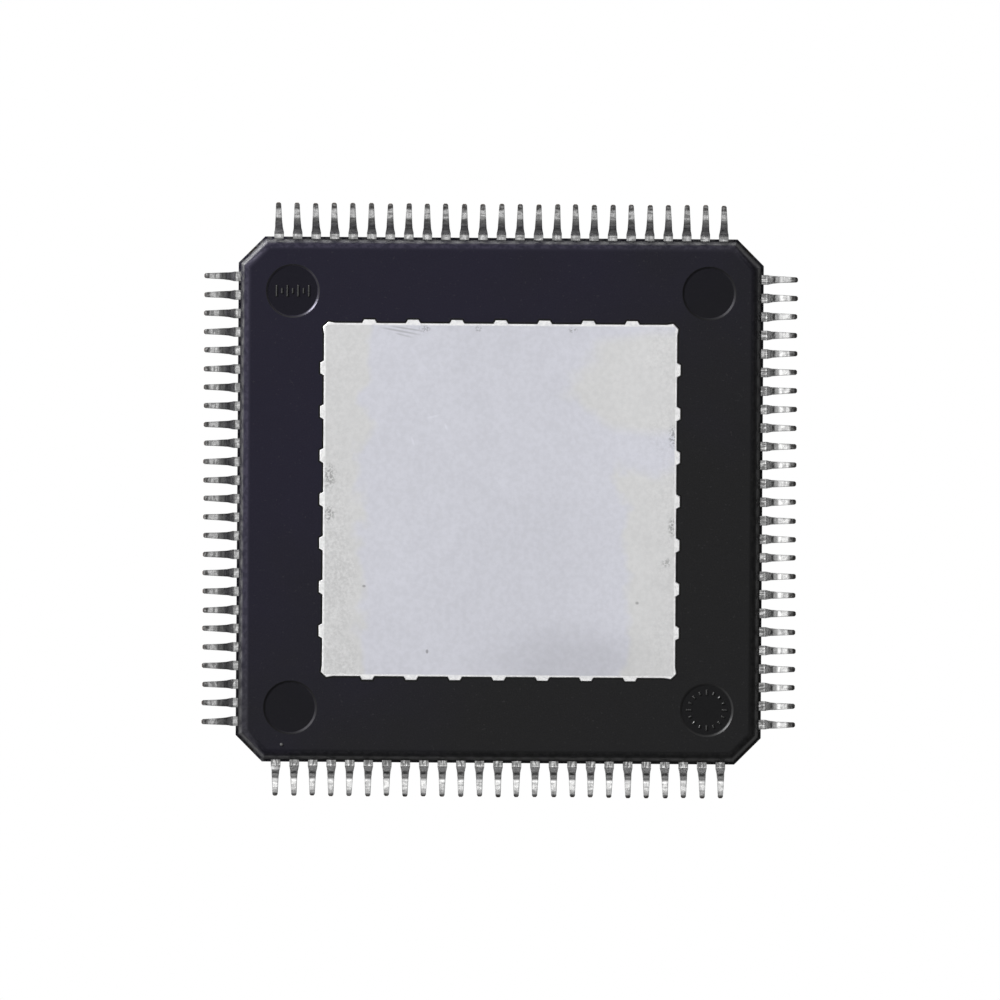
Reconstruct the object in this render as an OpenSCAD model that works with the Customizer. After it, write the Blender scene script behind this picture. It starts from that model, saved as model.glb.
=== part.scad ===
// Quad flat pack with an exposed die pad: 100 gull-wing leads in four rows round a
// moulded body. +Z is up, away from the board, and the origin is at the middle of the
// seating plane, which the toes of the leads touch. Lengths are in millimetres.
// Pin 1 is the +Y end of the -X row, and pins count anticlockwise seen from above.

/* [Leads] */
// Distance between the middles of neighbouring leads
lead_spacing = 0.5; // [0.4:0.01:0.65]
// Leads in each named group
leads_per_group = 5; // [3:1:5]
// Groups of leads along each side of the body
groups_per_side = 5; // [4:1:5]
// Thickness of the sheet that the leads and the die pad are stamped from
frame_t = 0.127; // [0.1:0.001:0.15]
// Reach of a lead, from the side of the body to its toe
lead_reach = 0.97; // [0.9:0.01:1.4]
// Flat stretch of a lead outside the body, before it bends down
shoulder = 0.12; // [0.1:0.01:0.25]
// Inner radius of the bend at the shoulder
shoulder_r = 0.13; // [0.06:0.01:0.15]
// Inner radius of the bend at the heel
heel_r = 0.14; // [0.08:0.01:0.2]
// Lean of the leg, away from upright
leg_lean = 10; // [2:0.5:15]
// Slope of the foot, down towards its toe
foot_slope = 2.5; // [0:0.5:7]
// Radius of a toe's lower edge, rolled over by the trimming punch
toe_r = 0.09; // [0.04:0.01:0.09]
// Width of a lead where it leaves the body, with the trimmed stubs of the dam bar
stub_w = 0.26; // [0.22:0.01:0.3]
// Length of the dam bar's stubs outside the body
stub_reach = 0.17; // [0.15:0.01:0.25]
// Run over which a lead then narrows to its leg, seen from above
stub_blend = 0.14; // [0.03:0.01:0.15]
// Width of a leg under the stubs
leg_w = 0.2; // [0.17:0.01:0.22]
// Width of a foot
foot_w = 0.17; // [0.15:0.01:0.2]
// Trimmed corner of a toe, seen from above
toe_cut = 0.04; // [0.01:0.01:0.05]

/* [Moulded body] */
// Depth of the body, from its underside to its top
body_depth = 1.4; // [1:0.05:1.6]
// Gap between the underside of the body and the board
standoff = 0.1; // [0.05:0.01:0.15]
// Side of the body, measured from the middle of the last lead of a row
row_margin = 1.03; // [0.95:0.01:1.5]
// Leg of the 45 degree cut across each corner
corner_cut = 0.68; // [0.4:0.01:0.8]
// Draft of the side walls
draft = 12; // [5:1:15]
// Radius of the edges round the top and the underside
edge_r = 0.22; // [0.05:0.01:0.25]
// Resin ledge that stands out of the walls between the leads
ledge = 0.055; // [0.02:0.005:0.12]
// Width of the round ejector marks, where they meet the underside
ejector_d = 1.45; // [1:0.05:1.5]
// Depth of the ejector marks
ejector_depth = 0.03; // [0.01:0.005:0.05]
// Distance of an ejector mark's middle from the two nearest sides of the body
ejector_inset = 1.42; // [1.2:0.01:1.5]
// Run of the sloping wall round these marks and round the pin 1 mark
mark_slope = 0.06; // [0.01:0.005:0.08]
// Width of the round pin 1 mark, where it meets the top
pin_mark_d = 1.2; // [0.8:0.1:1.6]
// Depth of the pin 1 mark
pin_mark_depth = 0.08; // [0.02:0.01:0.1]
// Distance of the pin 1 mark's middle from the two nearest sides of the body
pin_mark_inset = 1.6; // [1.4:0.1:2]

/* [Die pad] */
// Side of the bare face of the die pad
pad_side = 9.53; // [8:0.01:9.8]
// Width of the thinned rim that locks the pad into the resin
rim_w = 0.15; // [0.12:0.01:0.2]
// Depth of the rim's thinning, from below
rim_etch = 0.06; // [0.04:0.005:0.08]
// Tabs along each side of the bare face
tab_count = 7; // [3:2:7]
// Distance between the middles of neighbouring tabs
tab_spacing = 1.18; // [0.9:0.01:1.22]
// Width of a tab at the edge of the bare face
tab_base = 0.4; // [0.34:0.01:0.5]
// Width of a tab at its tip
tab_tip = 0.29; // [0.2:0.01:0.32]
// Reach of a tab out of the edge
tab_reach = 0.095; // [0.05:0.005:0.11]
// Leg of the cut across each corner of the bare face
pad_cut = 0.12; // [0.08:0.01:0.2]
// Length of the flare on each side of such a cut
flare_l = 0.18; // [0.1:0.01:0.25]
// Reach of the flare out of the edge
flare_reach = 0.03; // [0.01:0.005:0.05]
// Width of the bars that tie the pad to the corners of the body
tie_w = 0.25; // [0.15:0.01:0.35]
// Slope of the tie bars, up to the level of the leads
tie_slope = 40; // [30:1:50]

/* [Inner leads] */
// Gap between the die pad's rim and the inner tips of the leads, seen from above
tip_gap = 0.33; // [0.25:0.01:0.4]
// Distance between the middles of neighbouring inner tips
tip_spacing = 0.39; // [0.34:0.01:0.4]
// Width of an inner lead
inner_w = 0.18; // [0.14:0.01:0.2]
// Straight stretch of a lead inside the body, before it turns to the die
anchor = 0.35; // [0.25:0.01:0.5]
// Run over which a lead widens at the start of that stretch
anchor_blend = 0.03; // [0.02:0.01:0.1]

/* [Die and wires] */
// Side of the silicon die
die_side = 5.6; // [5:0.1:7]
// Thickness of the die
die_t = 0.28; // [0.2:0.01:0.3]
// Thickness of the adhesive under the die
glue_t = 0.025; // [0.01:0.005:0.05]
// Reach of the adhesive out of the die's edge
glue_reach = 0.1; // [0.05:0.01:0.3]
// Distance of the last wire of a side from the corner of the die
bond_margin = 0.4; // [0.3:0.05:0.8]
// Distance of the wires from the edge of the die
bond_inset = 0.12; // [0.08:0.01:0.3]
// Thickness of a bond wire
wire_t = 0.03; // [0.02:0.005:0.035]
// Width of the ball at the die end of a wire
ball_d = 0.07; // [0.05:0.005:0.1]
// Height of that ball
ball_h = 0.02; // [0.015:0.005:0.03]
// Height of a wire's loop over the top of the leads
loop_rise = 0.14; // [0.1:0.01:0.2]
// Length of wire that is pressed down on a lead
stitch = 0.1; // [0.05:0.01:0.15]

/* [Hidden] */
pins_per_side = groups_per_side * leads_per_group;
groups = 4 * groups_per_side;
middle_pin = (pins_per_side - 1) / 2;

// The body, from its middle plane, where the leads leave it
body_half = middle_pin * lead_spacing + row_margin;
corner_half = (2 * body_half - corner_cut) / sqrt(2);
body_z = [standoff, standoff + body_depth];
frame_z = standoff + (body_depth - frame_t) / 2;
frame_top = frame_z + frame_t;
edge_steps = 4;

// The die stack, from the underside of the body up
pad_half = pad_side / 2;
pad_top = standoff + frame_t;
rim_half = pad_half + rim_w;
die_z = pad_top + glue_t;
die_top = die_z + die_t;

// A lead, from its inner tip to its toe, as distances from the middle of the package
tip_y = rim_half + tip_gap;
anchor_y = body_half - anchor;
shoulder_y = body_half + shoulder;
stub_y = body_half + stub_reach;
toe_y = body_half + lead_reach;
bend = 90 - leg_lean;
bend_steps = 6;
// Both bends' radii and the sheet between them
bends_r = shoulder_r + frame_t + heel_r;
// Height at which a sharp toe would end, under the lowest point of the rolled one
toe_z = toe_r * (1 - cos(foot_slope) - sin(foot_slope));
// Length of the straight leg that brings the toe down to the seating plane
leg_l = (frame_z - shoulder_r + bends_r * cos(bend) - (heel_r + frame_t) * cos(foot_slope) - toe_z
         - tan(foot_slope) * (toe_y - shoulder_y - bends_r * sin(bend) + heel_r * sin(foot_slope)))
        / (sin(bend) - cos(bend) * tan(foot_slope));
shoulder_c = [shoulder_y, frame_z - shoulder_r];
heel_c = shoulder_c + bends_r * [sin(bend), cos(bend)] + leg_l * [cos(bend), -sin(bend)];
foot_y = heel_c.x - heel_r * sin(foot_slope);
foot_l = (toe_y - foot_y) / cos(foot_slope);

// The tie bars, as distances from the middle of the package along a diagonal
tie_start = (2 * pad_half - pad_cut) / sqrt(2) - frame_t / 2;
tie_rise = frame_z - standoff;
tie_end = corner_half + ledge;

// Distance between neighbouring wires at the die
bond_spacing = (die_side - 2 * bond_margin) / (pins_per_side - 1);
// Distance of the wires' outer ends from the middle of the package
landing_y = tip_y + 2 * stitch;

// Reach of the cutting shapes past what they cut
past = 1;

function group_name(kind, group) =
    str(kind, "_", group * leads_per_group + 1, "_to_", (group + 1) * leads_per_group);

// Points along an arc, from one angle to another
function arc(centre, radius, from, to, steps) =
    [for (i = [0:steps]) let (a = from + (to - from) * i / steps) centre + radius * [cos(a), sin(a)]];

function reversed(points) = [for (i = [len(points) - 1:-1:0]) points[i]];
function mirrored(points) = [for (p = reversed(points)) [-p.x, p.y]];
function left_of(from, to) = let (d = to - from) [-d.y, d.x] / norm(d);

// Corner points of one side of a bent strip, whose middle line runs through the points
function strip_side(points, offset) =
    [for (i = [0:len(points) - 1])
        let (last = len(points) - 1)
        let (before = left_of(points[max(i - 1, 0)], points[max(i, 1)]))
        let (after = left_of(points[min(i, last - 1)], points[min(i + 1, last)]))
        points[i] + offset * 2 * (before + after) / pow(norm(before + after), 2)];
function strip(points, thickness) =
    concat(strip_side(points, thickness / 2), reversed(strip_side(points, -thickness / 2)));

// ---- Moulded body ----

// Right half of the body's cross-section, from the underside to the top
function wall(half) =
    let (lean = tan(draft) * (frame_z - body_z[0] - edge_r) + edge_r / cos(draft))
    concat(
        arc([half - lean, body_z[0] + edge_r], edge_r, -90, -draft, edge_steps),
        [[half, frame_z], [half, frame_top]],
        arc([half - lean, body_z[1] - edge_r], edge_r, draft, 90, edge_steps)
    );

// The cross-section drawn out along the body
module drafted_bar(half) {
    rotate([90, 0, 0])
        linear_extrude(4 * body_half, center = true)
            polygon(concat(wall(half), mirrored(wall(half))));
}

// A square with cut corners, from the distances of its sides and of its cuts
module cut_square(side_half, cut_half) {
    intersection() {
        square(2 * side_half, center = true);
        rotate(45) square(2 * cut_half, center = true);
    }
}

module drafted_body() {
    intersection_for (eighth = [0:3])
        rotate(45 * eighth)
            drafted_bar(eighth % 2 == 0 ? body_half : corner_half);
}

// Resin that filled the gaps of the lead frame outside the walls
module resin_ledge() {
    translate([0, 0, frame_z])
        linear_extrude(frame_t)
            cut_square(body_half + ledge, corner_half + ledge);
}

// A round sunk mark with a sloping wall, cut upwards from the level z = 0
module sunk_mark(width, depth) {
    rotate_extrude($fn = 96)
        polygon([[0, -past], [width / 2, -past], [width / 2, 0],
                 [width / 2 - mark_slope, depth], [0, depth]]);
}

module ejector_marks() {
    place = body_half - ejector_inset;
    for (x = [-place, place], y = [-place, place])
        translate([x, y, body_z[0]])
            sunk_mark(ejector_d, ejector_depth);
}

module pin_1_mark() {
    place = body_half - pin_mark_inset;
    translate([-place, place, body_z[1]])
        rotate([180, 0, 0])
            sunk_mark(pin_mark_d, pin_mark_depth);
}

module mold_body() {
    color([0.16, 0.15, 0.18])
        difference() {
            union() {
                drafted_body();
                resin_ledge();
            }
            ejector_marks();
            pin_1_mark();
            die_pad();
            // Open the corners, where the tie bars end flush
            tie_bars(past);
            die_attach();
            silicon_die();
            for (group = [0:groups - 1]) {
                leads(group);
                bond_wires(group);
                wire_contacts(group);
            }
        }
}

// ---- Die pad ----

// One side of the bare face, from its right corner to its left one
function pad_edge() =
    let (corner = [pad_half - pad_cut, pad_half + flare_reach])
    let (flare = [pad_half - pad_cut - flare_l, pad_half])
    concat(
        [corner, flare],
        [for (tab = [tab_count - 1:-1:0])
            let (x = (tab - (tab_count - 1) / 2) * tab_spacing)
            each [[x + tab_base / 2, pad_half],
                  [x + tab_tip / 2, pad_half + tab_reach],
                  [x - tab_tip / 2, pad_half + tab_reach],
                  [x - tab_base / 2, pad_half]]],
        [[-flare.x, flare.y], [-corner.x, corner.y]]
    );

function turned(points, a) =
    [for (p = points) [p.x * cos(a) - p.y * sin(a), p.x * sin(a) + p.y * cos(a)]];

module bare_face() {
    translate([0, 0, standoff])
        linear_extrude(frame_t)
            polygon([for (quarter = [0:3]) each turned(pad_edge(), 90 * quarter)]);
}

module locking_rim() {
    translate([0, 0, standoff + rim_etch])
        linear_extrude(frame_t - rim_etch)
            square(2 * rim_half, center = true);
}

// Middle line of a tie bar: out of the pad, up its slope and out to the corner of the body
function tie_line(reach) =
    let (low = standoff + frame_t / 2)
    [[tie_start - past, low],
     [tie_start, low],
     [tie_start + tie_rise / tan(tie_slope), low + tie_rise],
     [tie_end + reach, low + tie_rise]];

module tie_bars(reach = 0) {
    for (quarter = [0:3])
        rotate([90, 0, 45 + 90 * quarter])
            linear_extrude(tie_w, center = true)
                polygon(strip(tie_line(reach), frame_t));
}

module die_pad() {
    color([0.82, 0.81, 0.84]) {
        bare_face();
        locking_rim();
        tie_bars();
    }
}

// ---- Die ----

module slab(side, z, thickness) {
    translate([0, 0, z])
        linear_extrude(thickness)
            square(side, center = true);
}

module die_attach() {
    color([0.6, 0.6, 0.62])
        slab(die_side + 2 * glue_reach, pad_top, glue_t);
}

module silicon_die() {
    color([0.3, 0.32, 0.38])
        slab(die_side, die_z, die_t);
}

// ---- Leads ----

// The bent side view of a lead, drawn as distance from the middle of the package and height
function lead_profile() =
    let (foot = [cos(foot_slope), -sin(foot_slope)])
    let (up = [sin(foot_slope), cos(foot_slope)])
    let (toe = heel_c - heel_r * up + foot_l * foot)
    let (leg_a = 90 - bend)
    let (foot_a = 270 - foot_slope)
    concat(
        [[tip_y, frame_top]],
        arc(shoulder_c, shoulder_r + frame_t, 90, leg_a, bend_steps),
        arc(heel_c, heel_r, 180 + leg_a, foot_a, bend_steps),
        [toe],
        arc(toe - toe_r * foot - (frame_t - toe_r) * up, toe_r, -foot_slope, -90 - foot_slope, bend_steps),
        arc(heel_c, heel_r + frame_t, foot_a, 180 + leg_a, bend_steps),
        arc(shoulder_c, shoulder_r, leg_a, 90, bend_steps),
        [[tip_y, frame_z]]
    );

// One edge of a lead seen from above, from its inner tip to its toe
function lead_edge(step, side) =
    let (x = step * lead_spacing)
    [[step * tip_spacing + side * inner_w / 2, tip_y],
     [x + side * inner_w / 2, anchor_y],
     [x + side * stub_w / 2, anchor_y + anchor_blend],
     [x + side * stub_w / 2, stub_y],
     [x + side * leg_w / 2, stub_y + stub_blend],
     [x + side * foot_w / 2, foot_y],
     [x + side * foot_w / 2, toe_y - toe_cut],
     [x + side * (foot_w / 2 - toe_cut), toe_y]];

// Places of a group's pins along its row, in steps from the middle of the row
function steps_of(group) =
    [for (i = [0:leads_per_group - 1]) middle_pin - (group % groups_per_side) * leads_per_group - i];

// Turns what stands on the +Y side of the package to the side that the group is on
module on_side_of(group) {
    rotate(90 * (1 + floor(group / groups_per_side)))
        children();
}

module leads(group) {
    color([0.78, 0.78, 0.8])
        on_side_of(group)
            intersection() {
                translate([0, 0, -past])
                    linear_extrude(body_z[1] + past)
                        for (step = steps_of(group))
                            polygon(concat(lead_edge(step, 1), reversed(lead_edge(step, -1))));
                rotate([90, 0, 90])
                    linear_extrude(2 * body_half, center = true)
                        polygon(lead_profile());
            }
}

// ---- Bond wires ----

// Middle line of a wire: up from its ball, level over the die and down to its lead
function wire_line(length) =
    let (lead_z = frame_top + wire_t / 2)
    let (top_z = lead_z + loop_rise)
    [[0, die_top + ball_h / 2],
     [0, top_z - 2 * wire_t],
     [2 * wire_t, top_z],
     [length / 2, top_z],
     [length - stitch, lead_z],
     [length, lead_z]];

// Where a wire starts, and its run from there to its lead, seen from above
function wire_start(step) = [step * bond_spacing, die_side / 2 - bond_inset];
function wire_run(step) =
    let (share = (landing_y - tip_y) / (anchor_y - tip_y))
    [step * (tip_spacing + share * (lead_spacing - tip_spacing)), landing_y] - wire_start(step);

// Stands a side view, drawn as distance along a wire and height, up in its place
module along_wire(step, width) {
    run = wire_run(step);
    translate(wire_start(step))
        rotate([90, 0, atan2(run.y, run.x)])
            linear_extrude(width, center = true)
                children();
}

module bond_wire(step) {
    translate(concat(wire_start(step), die_top))
        cylinder(d = ball_d, h = ball_h, $fn = 24);
    along_wire(step, wire_t)
        polygon(strip(wire_line(norm(wire_run(step))), wire_t));
}

// Bridges the two faces at which a wire touches, so that no skin of resin stands in them
module wire_contacts(group) {
    on_side_of(group)
        for (step = steps_of(group)) {
            translate(concat(wire_start(step), die_top - ball_h / 2))
                cylinder(d = ball_d / 2, h = ball_h, $fn = 24);
            along_wire(step, wire_t / 2)
                translate([norm(wire_run(step)) - stitch / 2, frame_top])
                    square([stitch / 2, wire_t], center = true);
        }
}

module bond_wires(group) {
    color([0.85, 0.7, 0.35])
        on_side_of(group)
            for (step = steps_of(group))
                bond_wire(step);
}

mold_body();
die_pad();
die_attach();
silicon_die();
for (group = [0:groups - 1]) {
    leads(group);
    bond_wires(group);
}
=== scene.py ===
import math

import bmesh
import bpy
import numpy as np
from mathutils import Matrix, Vector

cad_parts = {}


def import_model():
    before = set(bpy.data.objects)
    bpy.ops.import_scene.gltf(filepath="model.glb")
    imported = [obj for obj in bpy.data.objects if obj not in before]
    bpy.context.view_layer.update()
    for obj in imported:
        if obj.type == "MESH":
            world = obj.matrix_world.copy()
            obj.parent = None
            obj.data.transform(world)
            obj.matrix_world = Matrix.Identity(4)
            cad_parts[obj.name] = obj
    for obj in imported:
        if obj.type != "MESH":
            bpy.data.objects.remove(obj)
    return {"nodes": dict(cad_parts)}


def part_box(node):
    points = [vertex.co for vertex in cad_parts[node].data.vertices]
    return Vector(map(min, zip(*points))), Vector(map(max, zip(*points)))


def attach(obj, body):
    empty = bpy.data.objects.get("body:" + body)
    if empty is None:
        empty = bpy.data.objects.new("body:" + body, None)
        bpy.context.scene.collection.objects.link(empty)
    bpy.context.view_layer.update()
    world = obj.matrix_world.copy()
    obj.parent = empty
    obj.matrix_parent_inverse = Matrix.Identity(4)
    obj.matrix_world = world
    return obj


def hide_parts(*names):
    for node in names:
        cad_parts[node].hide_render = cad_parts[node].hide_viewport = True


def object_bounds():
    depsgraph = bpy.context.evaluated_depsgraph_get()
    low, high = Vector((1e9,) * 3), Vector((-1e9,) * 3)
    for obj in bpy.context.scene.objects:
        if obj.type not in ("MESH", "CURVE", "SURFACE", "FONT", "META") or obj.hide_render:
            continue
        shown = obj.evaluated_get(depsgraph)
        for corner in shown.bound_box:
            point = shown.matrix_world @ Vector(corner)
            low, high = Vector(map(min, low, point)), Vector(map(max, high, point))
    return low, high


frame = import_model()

CAD_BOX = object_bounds()
MM = 0.001

# ---- Places, from the frame where it has them ----

BODY_LOW, BODY_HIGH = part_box("mold_body")
UNDERSIDE = BODY_LOW.z
TOP = BODY_HIGH.z
TOE = CAD_BOX[1].x
# The leads: their sheet, their spacing, and the height of the underside of their shoulders
SHEET = 0.127 * MM
LEAD_SPACING = 0.5 * MM
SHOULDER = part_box("leads_1_to_5")[1].z - SHEET
# The body inside its ledge of resin, and the die pad inside its tabs
LEDGE = 0.055 * MM
BODY_HALF = BODY_HIGH.x - LEDGE
PAD_HALF = 4.765 * MM
PAD_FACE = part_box("die_pad")[0].z
# Ejector marks: their middles, their radius, the run of their sloping walls and their depth
MARK_PLACE = BODY_HALF - 1.42 * MM
MARK_R = 0.725 * MM
MARK_SLOPE = 0.06 * MM
MARK_DEPTH = 0.03 * MM
LEAD_GROUPS = sorted(n for n in frame["nodes"] if n.startswith("leads_"))
WIRE_GROUPS = sorted(n for n in frame["nodes"] if n.startswith("wires_"))

# ---- Meshing ----

# Corners this close are one corner, and faces this close in angle are one flat face
WELD = 2e-8
FLAT_ANGLE = math.radians(0.3)
# Steeper edges stay sharp. The body's limit lies over the facets of its rounded edges and
# under the rims of its marks.
SHARP_ANGLE = math.radians(32)
BODY_SHARP_ANGLE = math.radians(23)
# Rounding of the stamped edges
LEAD_ROUNDING = 0.027 * MM
PAD_ROUNDING = 0.022 * MM
ROUNDING_STEPS = 3


# ---- Nodes of the materials ----

class Nodes:
    """Builds a node tree. A socket given as a value is linked, anything else is set."""

    def __init__(self, tree, place):
        self.tree = tree
        self.place = self.add("ShaderNodeTexCoord").outputs[place]

    def add(self, kind, inputs=None, **settings):
        node = self.tree.nodes.new(kind)
        for key, value in settings.items():
            setattr(node, key, value)
        for key, value in (inputs or {}).items():
            self.feed(node.inputs[key], value)
        return node

    def feed(self, socket, value):
        if isinstance(value, bpy.types.NodeSocket):
            self.tree.links.new(value, socket)
        else:
            socket.default_value = value

    def math(self, operation, a, b=0.0):
        return self.add("ShaderNodeMath", {0: a, 1: b}, operation=operation).outputs[0]

    def plus(self, first, *others):
        for other in others:
            first = self.math("ADD", first, other)
        return first

    def minus(self, a, b):
        return self.math("SUBTRACT", a, b)

    def times(self, first, *others):
        for other in others:
            first = self.math("MULTIPLY", first, other)
        return first

    def most(self, first, *others):
        for other in others:
            first = self.math("MAXIMUM", first, other)
        return first

    def absolute(self, value):
        return self.math("ABSOLUTE", value)

    def far(self, a, b):
        """Length of a step with these two parts."""
        return self.math("SQRT", self.plus(self.times(a, a), self.times(b, b)))

    def dot(self, vector, way):
        inputs = {0: vector, 1: way}
        return self.add("ShaderNodeVectorMath", inputs, operation="DOT_PRODUCT").outputs["Value"]

    def step(self, value, low, high, out_low=0.0, out_high=1.0):
        """A smooth step. With low above high, it falls."""
        inputs = {"Value": value, "From Min": low, "From Max": high, "To Min": out_low, "To Max": out_high}
        return self.add("ShaderNodeMapRange", inputs, interpolation_type="SMOOTHSTEP").outputs["Result"]

    def within(self, value, rise, fall):
        """1 in a range: up over the first pair of values, down over the second."""
        return self.times(self.step(value, *rise), self.step(value, *fall))

    def axes(self, vector=None):
        return self.add("ShaderNodeSeparateXYZ", {0: vector or self.place}).outputs


class Shader(Nodes):
    """One material. Its lengths are in metres, but patches and scratches are given in millimetres."""

    def __init__(self, name):
        self.material = bpy.data.materials.new(name)
        self.material.use_nodes = True
        super().__init__(self.material.node_tree, "Object")
        self.bsdf = self.tree.nodes["Principled BSDF"]

    def set(self, **values):
        for key, value in values.items():
            self.feed(self.bsdf.inputs[key.replace("_", " ")], value)

    def squeezed(self, axis, share):
        """Places for a pattern that is drawn out along one axis."""
        scale = [1.0, 1.0, 1.0]
        scale[axis] = share
        return self.add("ShaderNodeVectorMath", {0: self.place, 1: scale}, operation="MULTIPLY").outputs[0]

    def noise(self, scale, detail=2.0, roughness=0.5, place=None):
        inputs = {"Vector": place or self.place, "Scale": scale, "Detail": detail, "Roughness": roughness}
        return self.add("ShaderNodeTexNoise", inputs).outputs["Fac"]

    def wander(self, scale, reach):
        """A slow shift to and fro, by up to about a third of the reach."""
        return self.times(self.minus(self.noise(scale, 3.0), 0.5), reach)

    def patch(self, x, y, middle, radii, soft):
        """1 inside an ellipse, 0 outside, with an edge that takes up this share of it."""
        across = self.times(self.minus(x, middle[0] * MM), 1 / (radii[0] * MM))
        along = self.times(self.minus(y, middle[1] * MM), 1 / (radii[1] * MM))
        return self.step(self.far(across, along), 1.0, 1.0 - soft)

    def scratch(self, x, y, start, end, width):
        """1 on a thin straight line that fades at both ends."""
        run = (Vector(end) - Vector(start)) * MM
        way = run.normalized()
        off_x = self.minus(x, start[0] * MM)
        off_y = self.minus(y, start[1] * MM)
        along = self.plus(self.times(off_x, way.x), self.times(off_y, way.y))
        across = self.absolute(self.plus(self.times(off_x, -way.y), self.times(off_y, way.x)))
        length = run.length
        return self.times(self.step(across, width * MM, 0.3 * width * MM),
                          self.within(along, (0.0, 0.3 * length), (length, 0.6 * length)))

    def blend(self, share, a, b, mode="MIX"):
        mix = self.add("ShaderNodeMix", data_type="RGBA", blend_type=mode)
        for socket, value in ((mix.inputs[0], share), (mix.inputs[6], a), (mix.inputs[7], b)):
            self.feed(socket, value)
        return mix.outputs[2]

    def coated(self, tone, *coats):
        """A tone under coats, each given as its share and its colour."""
        for share, colour in coats:
            tone = self.blend(share, tone, colour)
        return tone

    def bump(self, height, distance, strength=1.0, under=None):
        inputs = {"Height": height, "Distance": distance, "Strength": strength}
        if under is not None:
            inputs["Normal"] = under
        return self.add("ShaderNodeBump", inputs).outputs["Normal"]

    def faces(self, axis):
        """How squarely a surface faces along an axis, either way."""
        normal = self.axes(self.add("ShaderNodeNewGeometry").outputs["Normal"])
        return self.absolute(normal[axis])


def grey(value):
    return (value, value, value, 1.0)


# ---- Materials ----

def resin():
    """Moulding compound: near black, fine grain of its glass filler, a lilac cast towards -X and -Y."""
    s = Shader("mould_compound")
    x, y, z = s.axes()
    cloud = s.noise(420, 3.0)
    grain = s.noise(30000, 3.0, 0.6)
    fleck = s.step(s.noise(16000, 1.0), 0.68, 0.78)
    cast = s.step(s.plus(x, y, s.wander(300, 12 * MM)), 7 * MM, -8 * MM)
    plain = s.blend(cast, (0.0048, 0.0048, 0.0052, 1), (0.0068, 0.0062, 0.0128, 1))
    filler = s.blend(cast, grey(0.015), (0.0135, 0.0125, 0.021, 1))
    # Rounded edges painted lighter in patches, partly as wear and partly as painted light, lighter and lilac
    # towards -X and -Y, where the lamps are
    scuffs = s.step(s.noise(8000, 3.0, 0.6), 0.42, 0.58, 0.25, 1.0)
    wear_and_sheen = s.times(s.within(s.faces(2), (0.15, 0.45), (0.995, 0.9)), scuffs)
    wear_and_sheen_tone = s.blend(cast, grey(0.02), (0.03, 0.027, 0.042, 1))
    # Walls left rough where the flash was trimmed, and painted lighter, mostly towards -X and -Y, as painted
    # light
    trimmed_and_lit = s.within(z, (UNDERSIDE + 0.1 * MM, UNDERSIDE + 0.2 * MM), (TOP - 0.1 * MM, TOP - 0.2 * MM))
    rough = s.step(s.noise(7000, 3.0, 0.6), 0.46, 0.6)
    # The ejector marks, darker where the pins polished them
    off = s.far(s.minus(s.absolute(x), MARK_PLACE), s.minus(s.absolute(y), MARK_PLACE))
    low = s.step(z, UNDERSIDE + 0.3 * MM, UNDERSIDE + 0.2 * MM)
    polished = s.times(s.step(off, MARK_R - 0.5 * MARK_SLOPE, MARK_R - 1.2 * MARK_SLOPE), low)
    wall = s.times(s.within(off, (MARK_R - MARK_SLOPE, MARK_R - 0.5 * MARK_SLOPE),
                            (MARK_R + 0.1 * MARK_SLOPE, MARK_R - 0.1 * MARK_SLOPE)), low)
    # The sloping walls of the two marks with ticks are the glossiest, and are painted lighter than the other
    # walls, as painted sheen
    across = s.plus(x, y)
    gloss_and_sheen = s.times(wall, s.most(s.step(across, 0, -6 * MM), s.step(across, 0, 6 * MM, 0.0, 0.6)))
    tone = s.coated(
        plain,
        (s.step(grain, 0.35, 0.7, 0.0, 0.36), filler),
        (s.times(fleck, 0.25), grey(0.04)),
        (s.times(wear_and_sheen, 0.6), wear_and_sheen_tone),
        (s.times(trimmed_and_lit, rough, s.plus(0.15, s.times(cast, 0.8))), grey(0.07)),
        (s.times(polished, 0.6), (0.005, 0.005, 0.0055, 1)),
        (wall, s.blend(gloss_and_sheen, grey(0.006), grey(0.013))))
    dullness = s.plus(s.step(s.noise(2600, 4.0), 0.3, 0.7, 0.46, 0.52), s.times(polished, -0.06),
                      s.times(gloss_and_sheen, -0.22))
    relief = s.bump(grain, 0.004 * MM, 0.5, s.bump(cloud, 0.02 * MM, 0.1))
    s.set(Base_Color=tone, Roughness=dullness, Normal=relief, IOR=1.5,
          Specular_Tint=s.blend(cast, (0.92, 0.92, 0.94, 1), (0.84, 0.8, 1.0, 1)),
          Specular_IOR_Level=s.plus(0.17, s.times(polished, -0.06), s.times(gloss_and_sheen, 0.3)))
    return s.material


def polished_resin():
    """The same compound, as smooth as the end of the ejector pin that marked it."""
    s = Shader("polished_compound")
    fine = s.noise(20000, 3.0)
    s.set(Base_Color=s.blend(fine, grey(0.006), grey(0.016)), Roughness=s.step(fine, 0.3, 0.7, 0.24, 0.36),
          Specular_IOR_Level=0.9, Normal=s.bump(fine, 0.003 * MM, 0.4))
    return s.material


def flash_and_shade_line():
    """Smooth dark skin of resin that crept a little way round the edge of the die pad. Its darkness is
    partly the flash's own and partly painted shade along the pad's edge.
    """
    s = Shader("resin_flash_and_shade")
    tone = s.blend(s.noise(9000, 3.0), grey(0.003), grey(0.007))
    s.set(Base_Color=tone, Roughness=0.5, Specular_IOR_Level=0.12,
          Normal=s.bump(s.noise(20000, 2.0), 0.002 * MM, 0.4))
    return s.material


def dust():
    """Broken resin, rough and lighter than the moulded skin."""
    s = Shader("resin_dust")
    s.set(Base_Color=s.blend(s.noise(30000, 3.0), grey(0.03), grey(0.09)), Roughness=0.8,
          Normal=s.bump(s.noise(26000, 2.0), 0.006 * MM, 0.6))
    return s.material


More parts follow.
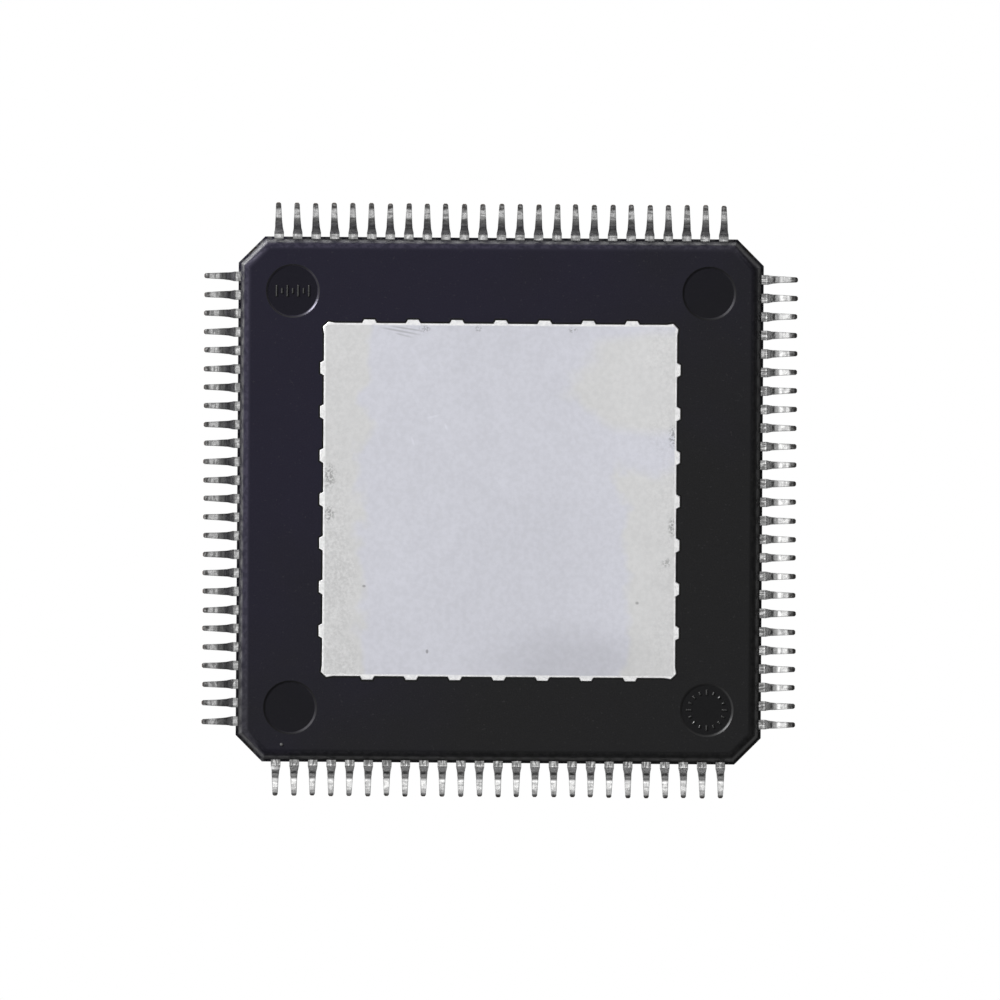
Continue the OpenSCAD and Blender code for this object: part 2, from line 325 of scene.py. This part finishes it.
def tin_on_leads(name, along, dark_toes):
    """Mottled tin on the leads of two opposite sides, streaked along them, with dull sheared sides, painted
    brighter on the high side as painted light.
    The toes are dark over these lengths on the low and on the high side of the chip."""
    s = Shader(name)
    place = s.axes()
    height = place[2]
    reach = s.absolute(place[along])
    aside = s.math("PINGPONG", place[1 - along], 0.5 * LEAD_SPACING)
    low_side = s.step(place[along], 5 * MM, -5 * MM)
    high_side = s.minus(1.0, low_side)
    streak = s.noise(24000, 2.0, 0.6, s.squeezed(along, 0.18))
    band = s.noise(11000, 1.0, 0.5, s.squeezed(1 - along, 0.25))
    mottle = s.noise(13000, 3.0, 0.6)
    crazing = s.noise(20000, 2.0, 0.7)
    speck = s.step(s.noise(16000, 1.0), 0.62, 0.7)
    # The dark toe, and the end face where the cut bared the copper
    dark_from = s.plus(reach, s.times(low_side, dark_toes[0]), s.times(high_side, dark_toes[1]))
    cut_end = s.times(s.step(s.plus(dark_from, s.wander(8000, 0.14 * MM)), TOE - 0.06 * MM, TOE + 0.03 * MM),
                      s.step(height, 0.1 * MM, 0.05 * MM))
    copper = s.times(s.step(reach, TOE - 0.06 * MM, TOE - 0.04 * MM), s.step(s.faces(along), 0.6, 0.85))
    sheared = s.step(s.faces(1 - along), 0.08, 0.35)
    # The plating is crazed and dull round the two bends, and streaked along the shoulders. The heels are
    # painted darker, and on the high side the shoulder streaks and the crazing are painted darker still, as
    # painted shade
    bends = s.within(height, (0.04 * MM, 0.14 * MM), (SHOULDER, SHOULDER - 0.04 * MM))
    upper = s.step(height, 0.25 * MM, 0.45 * MM)
    shoulder = s.step(height, SHOULDER - 0.05 * MM, SHOULDER - 0.01 * MM)
    heel = s.within(height, (0.012 * MM, 0.05 * MM), (0.16 * MM, 0.08 * MM))
    # The hollow of the upper bend is painted pale and made less metallic, as a painted highlight, and on the
    # high side a dark spot below it is painted shade
    hollow = s.within(reach, (TOE - 0.83 * MM, TOE - 0.8 * MM), (TOE - 0.69 * MM, TOE - 0.74 * MM))
    spot = s.times(s.within(reach, (TOE - 0.7 * MM, TOE - 0.67 * MM), (TOE - 0.6 * MM, TOE - 0.63 * MM)),
                   s.step(aside, 0.08 * MM, 0.055 * MM), s.step(mottle, 0.36, 0.5, 0.5, 1.0))
    # The rolled edges of each strip are painted darker than its flat middle, as painted shade
    edge_shade = s.step(aside, 0.045 * MM, 0.085 * MM, 0.0, 0.6)
    # Lit and shaded copies of one tin: the leads of the high side are painted brighter, as painted light,
    # those of the low side darker, as painted shade
    bright = s.blend(low_side, (0.97, 0.97, 0.96, 1), grey(0.83))
    dull = s.blend(low_side, grey(0.84), grey(0.6))
    tone = s.coated(
        dull,
        (s.step(mottle, 0.38, 0.58), bright),
        (s.step(band, 0.52, 0.6, 0.0, 0.7), s.blend(low_side, grey(0.5), grey(0.22))),
        (s.step(streak, 0.54, 0.7, 0.0, 0.4), grey(0.25)),
        (s.times(shoulder, s.step(streak, 0.44, 0.54), s.plus(0.25, s.times(high_side, 0.6))), grey(0.16)),
        (s.times(speck, 0.25), grey(0.12)),
        (edge_shade, grey(0.26)),
        (s.times(bends, s.step(crazing, 0.42, 0.58), s.plus(0.2, s.times(high_side, 0.5))), grey(0.22)),
        (s.times(heel, s.plus(0.4, s.times(high_side, 0.3))), grey(0.27)),
        (s.times(hollow, 0.8), grey(0.9)),
        (s.times(spot, high_side, 0.85), grey(0.04)),
        (s.times(sheared, 0.88), grey(0.1)),
        (s.times(copper, 0.8), (0.3, 0.19, 0.13, 1)),
        (s.times(cut_end, s.step(mottle, 0.46, 0.62, 0.93, 0.72)), (0.04, 0.038, 0.037, 1)))
    dullness = s.plus(s.step(mottle, 0.3, 0.7, 0.28, 0.17), s.times(s.most(cut_end, sheared), 0.22),
                      s.times(bends, 0.2))
    # The ends of the feet on the high sides are bumped as if they curled up a little
    curl = s.times(s.step(reach, TOE - 0.24 * MM, TOE, 1.0, 0.0), high_side)
    relief = s.bump(mottle, 0.004 * MM, 0.3, s.bump(streak, 0.003 * MM, 0.4, s.bump(curl, 0.014 * MM)))
    relief = s.bump(s.times(crazing, bends), 0.012 * MM, 0.5, relief)
    shine = s.plus(1.0, s.times(bends, s.plus(-0.06, s.times(s.most(low_side, upper), -0.16))),
                   s.times(hollow, s.plus(-0.12, s.times(high_side, -0.42))))
    s.set(Base_Color=tone, Metallic=shine, Roughness=dullness, Normal=relief)
    return s.material


def tin_on_pad():
    """Dull tin on the die pad: lilac in its middle, grey towards its sides, with pits, smudges,
    a few scratches and a smoother rim painted white as a painted highlight. The ends of the tie bars are
    bare and dull."""
    s = Shader("tin_on_pad")
    x, y, z = s.axes()
    cloud = s.noise(300, 4.0, 0.55)
    blotch = s.noise(1600, 4.0, 0.6)
    fine = s.noise(15000, 3.0, 0.6)
    speckle = s.noise(13000, 3.0, 0.7)
    shift = s.wander(900, 2.2 * MM)
    x_off = s.plus(x, shift)
    y_off = s.plus(y, shift)
    # Where the lilac turns to grey
    left = s.step(x_off, -3.5 * MM, -3.9 * MM)
    right = s.times(s.step(x_off, 3.2 * MM, 3.6 * MM), s.step(y_off, -1.2 * MM, -0.4 * MM))
    corner = s.patch(x_off, y, (4.3, -3.2), (2.6, 1.6), 0.3)
    plain = s.blend(s.most(left, right, corner), (0.69, 0.695, 0.755, 1), (0.71, 0.71, 0.712, 1))
    # Rough bands along the -X and the +X side
    rough = s.most(s.times(s.step(x_off, -3.7 * MM, -4.3 * MM), s.step(y, -2.0 * MM, 1.2 * MM, 0.35, 1.0)),
                   s.times(s.step(x_off, 3.9 * MM, 4.4 * MM), 0.5))
    # Lighter towards +X, darker in the middle of the +Y side, with three bright dashes
    dark = s.patch(x_off, y, (2.0, 4.6), (3.2, 1.7), 0.8)
    dashes = s.most(
        s.scratch(x, y, (-2.0, -2.2), (-1.6, -2.3), 0.04),
        s.scratch(x, y, (-2.4, -1.75), (-2.3, -1.4), 0.04),
        s.scratch(x, y, (-1.5, -2.1), (-1.42, -1.85), 0.04))
    light = s.times(
        s.step(x, 0.5 * MM, 4.2 * MM, 0.935, 0.99),
        s.plus(1.0, s.times(dark, -0.13)),
        s.step(cloud, 0.3, 0.7, 0.985, 1.01),
        s.step(s.noise(7000, 4.0, 0.6), 0.3, 0.7, 0.95, 1.02),
        s.plus(1.0, s.times(rough, s.step(speckle, 0.35, 0.65, -0.09, 0.06))))
    light = s.plus(light, s.times(dashes, 0.07))
    shade = s.add("ShaderNodeCombineColor", {0: light, 1: light, 2: light}).outputs[0]
    # Spots with many pits: two at the -X side, three at the +X side, three at the -Y side and a
    # faint one at -X and +Y. Besides them there are three single pits.
    pitted = s.most(
        s.patch(x, y, (-4.62, -0.62), (0.3, 0.5), 0.8),
        s.patch(x, y, (-4.6, 0.4), (0.24, 0.34), 0.8),
        s.patch(x, y, (4.66, -1.75), (0.16, 0.42), 0.7),
        s.patch(x, y, (4.66, 0.7), (0.16, 0.34), 0.7),
        s.times(s.patch(x, y, (4.5, 1.65), (0.16, 0.18), 0.7), 0.8),
        s.patch(x, y, (-2.05, -4.62), (0.2, 0.14), 0.7),
        s.patch(x, y, (-0.6, -4.62), (0.12, 0.1), 0.7),
        s.patch(x, y, (1.95, -4.6), (0.16, 0.1), 0.7),
        s.times(s.patch(x, y, (-4.4, 2.2), (0.5, 1.4), 0.9), 0.14))
    pits = s.most(
        s.times(s.step(s.noise(17000, 2.0, 0.6), 0.46, 0.56), pitted),
        s.patch(x, y, (-3.64, 2.33), (0.06, 0.045), 0.5),
        s.patch(x, y, (-1.93, 4.08), (0.045, 0.07), 0.5),
        s.patch(x, y, (3.72, 2.74), (0.07, 0.06), 0.8))
    scratches = s.most(
        s.scratch(x, y, (-3.35, -4.66), (-2.0, -4.42), 0.035),
        s.scratch(x, y, (-3.1, -4.7), (-1.9, -4.52), 0.03),
        s.times(s.scratch(x, y, (-2.9, -4.5), (-2.3, -4.36), 0.03), 0.7))
    # A painted highlight: a band along the pad's edge painted white, and made a little smoother
    rim = s.step(s.most(s.absolute(x), s.absolute(y)), PAD_HALF - 0.075 * MM, PAD_HALF - 0.04 * MM)
    tie_end = s.step(z, UNDERSIDE + 0.2 * MM, UNDERSIDE + 0.3 * MM)
    tone = s.coated(
        s.blend(1.0, plain, shade, "MULTIPLY"),
        (s.times(scratches, 0.36), grey(0.2)),
        (s.times(pits, 0.5), grey(0.1)),
        (s.times(rim, s.step(s.noise(9000, 2.0), 0.3, 0.6, 0.6, 1.0)), grey(1.0)),
        (tie_end, (0.03, 0.026, 0.024, 1)))
    dullness = s.plus(s.step(blotch, 0.3, 0.7, 0.5, 0.53), s.times(rim, -0.14), s.times(tie_end, 0.2))
    relief = s.bump(fine, 0.004 * MM, 0.3, s.bump(blotch, 0.01 * MM, 0.1))
    relief = s.bump(s.times(speckle, rough), 0.006 * MM, 0.35, relief)
    s.set(Base_Color=tone, Metallic=1.0, Roughness=dullness, Normal=relief)
    return s.material


def silicon():
    """The die, with the cells of its circuits as a fine pattern."""
    s = Shader("silicon_chip")
    cell = s.add("ShaderNodeTexBrick", {"Vector": s.place, "Scale": 2400.0, "Mortar Size": 0.03})
    tone = s.blend(cell.outputs["Fac"], (0.07, 0.08, 0.11, 1), (0.2, 0.19, 0.16, 1))
    s.set(Base_Color=tone, Roughness=s.step(s.noise(5000), 0.3, 0.7, 0.12, 0.25), Metallic=0.4)
    return s.material


def silver_glue():
    s = Shader("silver_glue")
    fine = s.noise(18000, 4.0)
    tone = s.blend(fine, grey(0.42), (0.66, 0.66, 0.68, 1))
    s.set(Base_Color=tone, Metallic=0.6, Roughness=0.5, Normal=s.bump(fine, 0.005 * MM))
    return s.material


def gold_wire():
    s = Shader("gold_wire")
    fine = s.noise(30000, 2.0)
    tone = s.blend(fine, (0.83, 0.55, 0.2, 1), (0.95, 0.72, 0.36, 1))
    s.set(Base_Color=tone, Metallic=1.0, Roughness=s.step(fine, 0.3, 0.7, 0.18, 0.3))
    return s.material


# ---- Meshes ----

def welded(node, whole_faces=True):
    """A copy of a CAD node's solid, with its split corners joined and, if wanted, its flat faces whole."""
    mesh = bmesh.new()
    mesh.from_mesh(frame["nodes"][node].data)
    bmesh.ops.remove_doubles(mesh, verts=mesh.verts, dist=WELD)
    if whole_faces:
        bmesh.ops.dissolve_limit(mesh, angle_limit=FLAT_ANGLE, verts=mesh.verts, edges=mesh.edges)
    return mesh


def sharp_edges(mesh):
    return [e for e in mesh.edges if len(e.link_faces) == 2 and e.calc_face_angle() > SHARP_ANGLE]


def rounded(mesh, edges, width, segments):
    bmesh.ops.bevel(mesh, geom=edges, offset=width, segments=segments, profile=0.5,
                    affect="EDGES", clamp_overlap=True)


def spread(start, linked):
    """All that can be reached from the start, through the function that lists what a thing is linked to."""
    found, edge = {start}, [start]
    while edge:
        for other in linked(edge.pop()):
            if other not in found:
                found.add(other)
                edge.append(other)
    return found


def face_across(edge, face, limit):
    """The other face of an edge, if the edge isn't sharper than the limit."""
    if len(edge.link_faces) == 2 and edge.calc_face_angle() < limit:
        yield edge.link_faces[0] if edge.link_faces[1] is face else edge.link_faces[1]


def flat_areas(mesh):
    """For each face, the area of the whole flat face that it is a part of."""
    area = {}
    for face in mesh.faces:
        if face not in area:
            flat = spread(face, lambda f: (g for e in f.edges for g in face_across(e, f, FLAT_ANGLE)))
            whole = sum(f.calc_area() for f in flat)
            area.update(dict.fromkeys(flat, whole))
    return area


def corner_normals(mesh, sharp):
    """Normals for smooth edges between flat faces: at each corner, the largest flat face counts most."""
    mesh.normal_update()
    area = flat_areas(mesh)
    normals = {}
    for vertex in mesh.verts:
        left = set(vertex.link_faces)
        while left:
            start = min(left, key=lambda f: f.index)
            round_it = spread(start, lambda f: (g for e in f.edges if vertex in e.verts
                                                for g in face_across(e, f, sharp)))
            total = Vector()
            for face in sorted(round_it, key=lambda f: f.index):
                total += face.normal * (area[face] / MM ** 2) ** 2
            for face in round_it:
                normals[vertex.index, face.index] = total.normalized()
            left -= round_it
    return [normals[c.vert.index, f.index] for f in mesh.faces for c in f.loops]


def piece(name, mesh, material, slot, *nodes, sharp=SHARP_ANGLE):
    """Makes an object of a mesh, which rides the root and covers the named CAD nodes."""
    data = bpy.data.meshes.new(name)
    mesh.verts.index_update()
    mesh.faces.index_update()
    normals = corner_normals(mesh, sharp)
    mesh.to_mesh(data)
    mesh.free()
    data.materials.clear()
    data.materials.append(material)
    data.polygons.foreach_set("material_index", [0] * len(data.polygons))
    data.polygons.foreach_set("use_smooth", [True] * len(data.polygons))
    data.set_sharp_from_angle(angle=sharp)
    data.normals_split_custom_set(normals)
    thing = bpy.data.objects.new(name, data)
    bpy.context.scene.collection.objects.link(thing)
    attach(thing, "root")
    if nodes:
        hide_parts(*nodes)


def islands(mesh):
    """The mesh's separate solids, as sets of vertices."""
    left = set(mesh.verts)
    while left:
        start = min(left, key=lambda v: v.index)
        found = spread(start, lambda v: (e.other_vert(v) for e in v.link_edges))
        left -= found
        yield found


def bent_by_handling(mesh, along, draw):
    """Each lead's foot ends a few micrometres aside, above and short of the drawn one, and narrower."""
    start = BODY_HALF + 0.15 * MM
    narrow_from, narrow_at, narrowing = TOE - 0.15 * MM, TOE - 0.1 * MM, 0.18
    for lead in islands(mesh):
        aside = draw.uniform(-0.012, 0.012) * MM
        lift = draw.uniform(0.0, 0.012) * MM
        short = draw.uniform(0.0, 0.02) * MM
        for v in lead:
            out = abs(v.co[along])
            reach = (out - start) / (TOE - start)
            if reach > 0:
                middle = LEAD_SPACING * round(v.co[1 - along] / LEAD_SPACING)
                share = min(1.0, max(0.0, (out - narrow_from) / (narrow_at - narrow_from)))
                v.co[1 - along] += aside * reach ** 2 - narrowing * share * (v.co[1 - along] - middle)
                v.co.z += lift * reach ** 2
                v.co[along] -= math.copysign(short * reach, v.co[along])


def lead_pieces(materials):
    """Dressed copies of the leads. The two materials are for the leads along X and along Y."""
    draw = np.random.default_rng(11)
    for node in LEAD_GROUPS:
        low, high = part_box(node)
        along = 0 if abs(low.x + high.x) > abs(low.y + high.y) else 1
        mesh = welded(node)
        rounded(mesh, sharp_edges(mesh), LEAD_ROUNDING, ROUNDING_STEPS)
        mesh.verts.index_update()
        bent_by_handling(mesh, along, draw)
        piece("tin_" + node, mesh, materials[along], "tinned_leads", node)


def pad_piece(material):
    """The die pad, rounded along the stamped edges of its bare face."""
    mesh = welded("die_pad")
    face = PAD_FACE + 0.001 * MM
    rim = [e for e in sharp_edges(mesh) if all(v.co.z < face for v in e.verts)]
    rounded(mesh, rim, PAD_ROUNDING, ROUNDING_STEPS)
    piece("tinned_die_pad", mesh, material, "tinned_pad", "die_pad")


def body_piece(material):
    piece("resin_body", welded("mold_body", whole_faces=False), material, "mould_resin", "mold_body",
          sharp=BODY_SHARP_ANGLE)


def flash_and_shade_piece(material):
    """A thin skin of resin round the bare face of the die pad, a micrometre proud of the underside. Its dark
    tone is partly painted shade along the pad's edge.
    """
    # The skin's section, in mm out from the pad and down from the underside
    section = ((0.0, 0.0005), (0.008, 0.001), (0.03, 0.001), (0.038, 0.0))
    solid = welded("die_pad")
    face = min(solid.faces, key=lambda f: f.calc_center_median().z)
    outline = [v.co.to_2d() for v in face.verts]
    solid.free()
    mesh = bmesh.new()
    rows = []
    for reach, height in section:
        row = []
        for i, spot in enumerate(outline):
            back = (spot - outline[i - 1]).normalized()
            on = (outline[(i + 1) % len(outline)] - spot).normalized()
            out = Vector((back.y + on.y, -back.x - on.x)) / (1 + back.dot(on))
            if out.dot(spot) < 0:
                out = -out
            row.append(mesh.verts.new((*(spot + out * reach * MM), UNDERSIDE - height * MM)))
        rows.append(row)
    for inner, outer in zip(rows[:-1], rows[1:]):
        for i in range(len(outline)):
            mesh.faces.new((inner[i - 1], inner[i], outer[i], outer[i - 1]))
    bmesh.ops.recalc_face_normals(mesh, faces=mesh.faces)
    if sum(f.normal.z for f in mesh.faces) > 0:
        bmesh.ops.reverse_faces(mesh, faces=mesh.faces)
    piece("resin_flash_and_shade", mesh, material, "mould_resin")


def crumb(material):
    """A crumb of resin stuck near the body's edge, beside the plain ejector mark at -X and +Y."""
    place = (-5.83 * MM, 6.61 * MM, UNDERSIDE)
    radii = (0.055 * MM, 0.042 * MM, 0.035 * MM)
    turn = 0.7
    mesh = bmesh.new()
    bmesh.ops.create_icosphere(mesh, subdivisions=3, radius=1.0)
    draw = np.random.default_rng(5)
    lumps = [(Vector(draw.normal(size=3)).normalized(), draw.uniform(-0.25, 0.3)) for _ in range(9)]
    for v in mesh.verts:
        way = v.co.normalized()
        v.co *= 1 + sum(size * max(0.0, way.dot(side)) ** 4 for side, size in lumps)
    shape = Matrix.Diagonal((*radii, 1.0))
    spot = Matrix.Translation(place) @ Matrix.Rotation(turn, 4, "Z") @ shape
    bmesh.ops.transform(mesh, matrix=spot, verts=mesh.verts)
    piece("resin_crumb", mesh, material, "mould_resin")


def add_ridge(mesh, middle, turn, length, width, height):
    """A raised ridge with sloping sides on the floor of an ejector mark, pointing down."""
    made = bmesh.ops.create_cube(mesh, size=1.0)["verts"]
    slope = 0.38 * width
    for v in made:
        if v.co.z < 0:
            v.co.x *= 1 - 2 * slope / length
            v.co.y *= 1 - 2 * slope / width
    size = Matrix.Diagonal((length, width, 2 * height, 1.0))
    place = Matrix.Translation(middle) @ Matrix.Rotation(turn, 4, "Z") @ size
    bmesh.ops.transform(mesh, matrix=place, verts=made)
    made = set(made)
    top = [e for e in mesh.edges if all(v in made and v.co.z < middle.z for v in e.verts)]
    rounded(mesh, top, 0.08 * width, 2)


def tick_marks(material):
    """Plain ticks where a mould maker numbers a cavity: a ring in one ejector mark, a row in another."""
    mesh = bmesh.new()
    ring_mark = Vector((MARK_PLACE, MARK_PLACE, UNDERSIDE + MARK_DEPTH))
    row_mark = Vector((-MARK_PLACE, -MARK_PLACE, UNDERSIDE + MARK_DEPTH))
    width, height = 0.1 * MM, 0.028 * MM
    ring_count, ring_r = 16, 0.48 * MM
    for i in range(ring_count):
        turn = 2 * math.pi * i / ring_count
        off = ring_r * Vector((math.cos(turn), math.sin(turn), 0))
        length = (0.14 if i % 4 else 0.2) * MM
        add_ridge(mesh, ring_mark + off, turn, length, width, height)
    row_count, row_spacing = 7, 0.145 * MM
    for i in range(row_count):
        off = Vector(((i - (row_count - 1) / 2) * row_spacing, 0, 0))
        length = (0.2 if i % 2 else 0.36) * MM
        add_ridge(mesh, row_mark + off, math.pi / 2, length, width, height)
    piece("cavity_ticks", mesh, material, "mould_resin")


# ---- Stage ----

def floor():
    """A pale floor under the feet. It shows from above only, so that the underside can be seen too."""
    bpy.ops.mesh.primitive_plane_add(size=0.5)
    plane = bpy.context.object
    plane.name = "floor"
    s = Shader("pale_floor")
    s.set(Base_Color=s.blend(s.noise(40, 3.0), grey(0.84), grey(0.88)), Roughness=0.9)
    seen = s.times(s.add("ShaderNodeLightPath").outputs["Is Camera Ray"],
                   s.minus(1.0, s.add("ShaderNodeNewGeometry").outputs["Backfacing"]))
    mix = s.add("ShaderNodeMixShader", {0: seen, 1: s.add("ShaderNodeBsdfTransparent").outputs[0],
                                        2: s.bsdf.outputs[0]})
    s.tree.links.new(mix.outputs[0], s.tree.nodes["Material Output"].inputs["Surface"])
    plane.data.materials.append(s.material)


def world():
    """White behind the object. Round it a dim room with a light tent below, on the side of -X and -Y."""
    made = bpy.data.worlds.new("studio")
    made.use_nodes = True
    bpy.context.scene.world = made
    n = Nodes(made.node_tree, "Generated")
    x, y, z = n.axes()
    tent_side = n.dot(n.place, (-0.75, -0.66, 0))
    tent = n.times(n.step(tent_side, -0.11, 0.11), n.step(x, -0.95, -0.55), n.step(y, -0.85, -0.3),
                   n.step(z, 0.05, -0.3))
    side = n.step(n.dot(n.place, (-0.75, -0.6, 0.28)), 0.2, 0.95)
    above = n.times(n.step(z, -0.3, 0.6), n.step(tent_side, -0.3, 0.35, 0.22, 0.62))
    strength = n.plus(0.18, above, n.times(tent, 1.14), n.times(side, 0.7))
    seen = n.add("ShaderNodeLightPath").outputs["Is Camera Ray"]
    mix = n.add("ShaderNodeMix", {0: seen, 2: strength, 3: 1.0}, data_type="FLOAT")
    ground = n.tree.nodes["Background"]
    n.feed(ground.inputs["Color"], grey(1.0))
    n.feed(ground.inputs["Strength"], mix.outputs[0])


def lamp(name, place, size, power):
    """A round soft lamp that faces the object and isn't seen itself."""
    data = bpy.data.lights.new(name, "AREA")
    data.shape = "DISK"
    data.size = size
    data.energy = power
    thing = bpy.data.objects.new(name, data)
    thing.location = place
    thing.rotation_mode = "QUATERNION"
    thing.rotation_quaternion = (-Vector(place)).to_track_quat("-Z", "Y")
    thing.visible_camera = False
    bpy.context.scene.collection.objects.link(thing)


def camera():
    """Looks straight up at the underside with a long lens, turned a little as the object lies."""
    lens, sensor = 500.0, 36.0
    view_width = 26.93 * MM
    turn = math.radians(0.38)
    right = Vector((math.cos(turn), -math.sin(turn), 0))
    up = Vector((-math.sin(turn), -math.cos(turn), 0))
    back = right.cross(up)
    centre = 0.008 * MM * right + 0.013 * MM * up
    spot = centre + back * (view_width * lens / sensor)
    data = bpy.data.cameras.new("camera")
    data.lens = lens
    data.sensor_width = sensor
    data.clip_start, data.clip_end = 0.005, 10.0
    thing = bpy.data.objects.new("camera", data)
    turned = Matrix((right, up, back)).transposed().to_4x4()
    thing.matrix_world = Matrix.Translation(spot) @ turned
    bpy.context.scene.collection.objects.link(thing)
    bpy.context.scene.camera = thing


camera()
world()
floor()
lamp("rim_light", place=(-0.16, -0.13, -0.11), size=0.09, power=0.9)
lamp("fill_above", place=(-0.1, -0.12, 0.2), size=0.18, power=0.22)

body_piece(resin())
tick_marks(polished_resin())
crumb(dust())
flash_and_shade_piece(flash_and_shade_line())
pad_piece(tin_on_pad())
lead_pieces((tin_on_leads("tin_on_leads_x", along=0, dark_toes=(0.15 * MM, 0.19 * MM)),
             tin_on_leads("tin_on_leads_y", along=1, dark_toes=(0.17 * MM, 0.05 * MM))))
# The pieces sealed in the resin stay as drawn
inner = {"silicon_die": silicon(), "die_attach": silver_glue()}
inner.update(dict.fromkeys(WIRE_GROUPS, gold_wire()))
for node, material in inner.items():
    frame["nodes"][node].material_slots[0].material = material

bpy.context.scene.view_settings.view_transform = "Standard"
